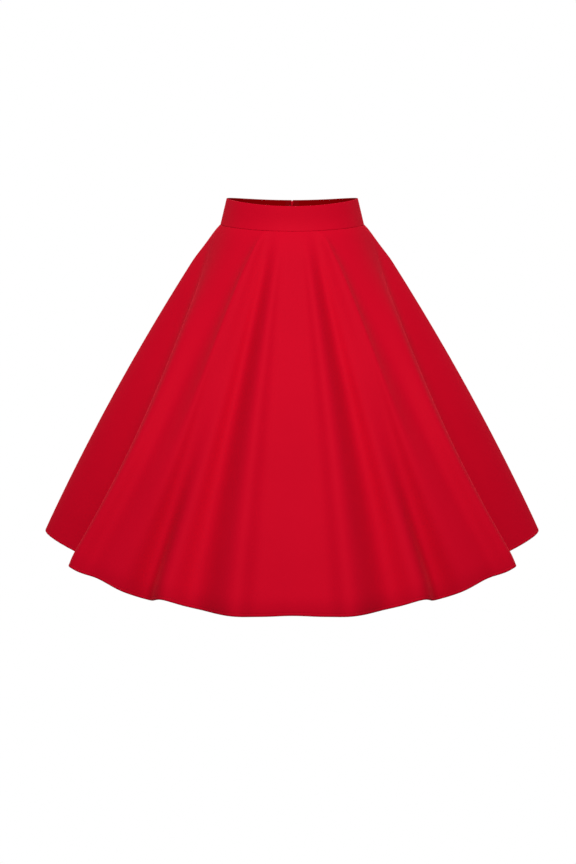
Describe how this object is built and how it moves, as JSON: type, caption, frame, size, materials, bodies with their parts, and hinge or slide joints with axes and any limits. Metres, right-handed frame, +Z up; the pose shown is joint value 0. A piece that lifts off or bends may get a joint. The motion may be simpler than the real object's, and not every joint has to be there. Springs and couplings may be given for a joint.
{
  "type": "a-line skirt",
  "caption": "Knee-length flared skirt hanging in soft folds from a narrow waistband, with a concealed zip at the centre back.",
  "frame": {"origin": "centre of the waistband at mid-height, where a waist holds the skirt up", "axes": "+Z up out of the waist, front of the skirt towards -Y, wearer's left side towards +X"},
  "size_m": [0.9372, 0.7687, 0.6787],
  "materials": {
    "cotton": "fine sateen-woven cotton with a slight sheen",
    "zip_tape": "matte woven tape with a nylon coil",
    "zip_enamel": "satin enamel in the colour of the cloth"
  },
  "bodies": {
    "garment": {"skirt_front": "cotton", "skirt_back_left": "cotton", "skirt_back_right": "cotton", "waistband": "cotton", "zip_tape_left": "zip_tape", "zip_tape_right": "zip_tape", "zip_slider": "zip_enamel"},
    "pull_tab": {"zip_pull": "zip_enamel"}
  },
  "joints": [
    {"name": "pull_tab_swing", "type": "hinge", "parent": "garment", "child": "pull_tab", "pos_m": [0, 0.09193, 0.01151], "axis": [1, 0, 0], "range_deg": [0, 165]}
  ]
}
